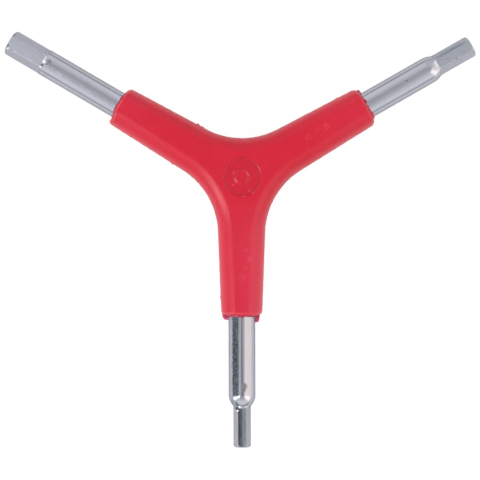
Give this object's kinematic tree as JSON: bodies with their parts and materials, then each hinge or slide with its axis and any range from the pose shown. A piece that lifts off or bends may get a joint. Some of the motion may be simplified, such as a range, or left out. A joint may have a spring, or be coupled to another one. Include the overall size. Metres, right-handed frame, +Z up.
{
  "type": "y wrench",
  "caption": "Y-shaped hex wrench: round steel bars with hexagonal ends, held in a moulded plastic handle with rounded flanks.",
  "frame": {"origin": "middle of the handle's flat underside, on the surface the wrench lies on", "axes": "+Z up through the handle's thickness; the 4 mm bar points along -Y, the 5 mm bar 30 degrees above +X, the 6 mm bar 30 degrees above -X"},
  "size_m": [0.1237, 0.1094, 0.012],
  "materials": {
    "red_plastic": "moulded red plastic, satin gloss, slightly pinkish, with faint sink marks and flash",
    "plated_steel": "plated polished steel with fine lengthwise marks and a little staining"
  },
  "bodies": {
    "root": {"grip_handle": "red_plastic", "hex_bar_4mm": "plated_steel", "hex_bar_5mm": "plated_steel", "hex_bar_6mm": "plated_steel"}
  },
  "joints": []
}
